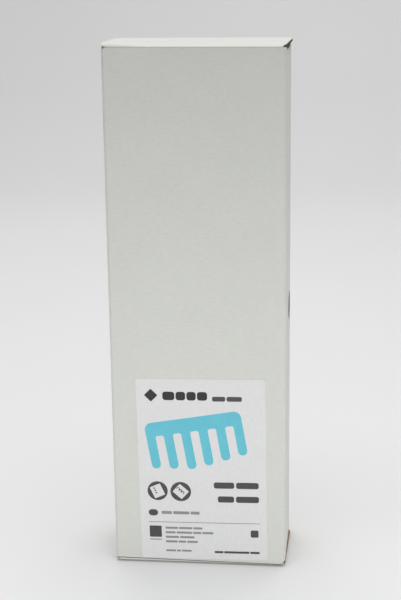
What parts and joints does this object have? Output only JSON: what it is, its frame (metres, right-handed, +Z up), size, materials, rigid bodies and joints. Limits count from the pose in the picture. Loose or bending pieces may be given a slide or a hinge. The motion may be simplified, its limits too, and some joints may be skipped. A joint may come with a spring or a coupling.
{
  "type": "carton of binding combs",
  "caption": "Tall tuck-end carton of thin corrugated board with a paper label and a round view hole, packed with plastic binding combs standing on end.",
  "frame": {"origin": "middle of the closed carton's base, on the surface it stands on", "axes": "+Z up along the carton's height, -Y out of the front with the label, +X out of the side with the view hole"},
  "size_m": [0.101, 0.0521, 0.305],
  "materials": {
    "board": "matte",
    "label_paper": "matte",
    "comb_plastic": "gloss"
  },
  "bodies": {
    "sleeve": {"front_panel": "board", "back_panel": "board", "left_panel": "board", "right_panel": "board", "glue_flap": "board", "front_label": "label_paper"},
    "top_lid": {"top_lid": "board"},
    "top_tuck_flap": {"top_tuck_flap": "board"},
    "top_dust_flap_left": {"top_dust_flap_left": "board"},
    "top_dust_flap_right": {"top_dust_flap_right": "board"},
    "bottom_lid": {"bottom_lid": "board"},
    "bottom_tuck_flap": {"bottom_tuck_flap": "board"},
    "bottom_dust_flap_left": {"bottom_dust_flap_left": "board"},
    "bottom_dust_flap_right": {"bottom_dust_flap_right": "board"},
    "combs": {"comb_01": "comb_plastic", "comb_02": "comb_plastic", "comb_03": "comb_plastic", "comb_04": "comb_plastic", "comb_05": "comb_plastic", "comb_06": "comb_plastic", "comb_07": "comb_plastic", "comb_08": "comb_plastic", "comb_09": "comb_plastic", "comb_10": "comb_plastic", "comb_11": "comb_plastic", "comb_12": "comb_plastic", "comb_13": "comb_plastic", "comb_14": "comb_plastic", "comb_15": "comb_plastic", "comb_16": "comb_plastic", "comb_17": "comb_plastic", "comb_18": "comb_plastic", "comb_19": "comb_plastic", "comb_20": "comb_plastic", "comb_21": "comb_plastic", "comb_22": "comb_plastic", "comb_23": "comb_plastic", "comb_24": "comb_plastic", "comb_25": "comb_plastic"}
  },
  "joints": [
    {"name": "top_lid_hinge", "type": "hinge", "parent": "sleeve", "child": "top_lid", "pos_m": [0, 0.026, 0.305], "axis": [-1, 0, 0], "range_deg": [0, 180]},
    {"name": "top_tuck_hinge", "type": "hinge", "parent": "top_lid", "child": "top_tuck_flap", "pos_m": [0, -0.0242, 0.30335], "axis": [-1, 0, 0], "range_deg": [0, 45]},
    {"name": "top_dust_left_hinge", "type": "hinge", "parent": "sleeve", "child": "top_dust_flap_left", "pos_m": [-0.0505, 0, 0.30335], "axis": [0, -1, 0], "range_deg": [0, 90]},
    {"name": "top_dust_right_hinge", "type": "hinge", "parent": "sleeve", "child": "top_dust_flap_right", "pos_m": [0.0505, 0, 0.30335], "axis": [0, 1, 0], "range_deg": [0, 90]},
    {"name": "bottom_lid_hinge", "type": "hinge", "parent": "sleeve", "child": "bottom_lid", "pos_m": [0, 0.026, 0], "axis": [1, 0, 0], "range_deg": [0, 180]},
    {"name": "bottom_tuck_hinge", "type": "hinge", "parent": "bottom_lid", "child": "bottom_tuck_flap", "pos_m": [0, -0.0242, 0.00165], "axis": [1, 0, 0], "range_deg": [0, 45]},
    {"name": "bottom_dust_left_hinge", "type": "hinge", "parent": "sleeve", "child": "bottom_dust_flap_left", "pos_m": [-0.0505, 0, 0.00165], "axis": [0, 1, 0], "range_deg": [0, 90]},
    {"name": "bottom_dust_right_hinge", "type": "hinge", "parent": "sleeve", "child": "bottom_dust_flap_right", "pos_m": [0.0505, 0, 0.00165], "axis": [0, -1, 0], "range_deg": [0, 90]},
    {"name": "combs_slide", "type": "slide", "parent": "sleeve", "child": "combs", "axis": [0, 0, 1], "range_m": [0, 0.002]}
  ],
  "couplings": [
    {"joint": "top_tuck_hinge", "follows": "top_lid_hinge", "ratio": 0.25},
    {"joint": "top_dust_left_hinge", "follows": "top_lid_hinge", "ratio": 0.5},
    {"joint": "top_dust_right_hinge", "follows": "top_lid_hinge", "ratio": 0.5},
    {"joint": "bottom_tuck_hinge", "follows": "bottom_lid_hinge", "ratio": 0.25},
    {"joint": "bottom_dust_left_hinge", "follows": "bottom_lid_hinge", "ratio": 0.5},
    {"joint": "bottom_dust_right_hinge", "follows": "bottom_lid_hinge", "ratio": 0.5}
  ]
}
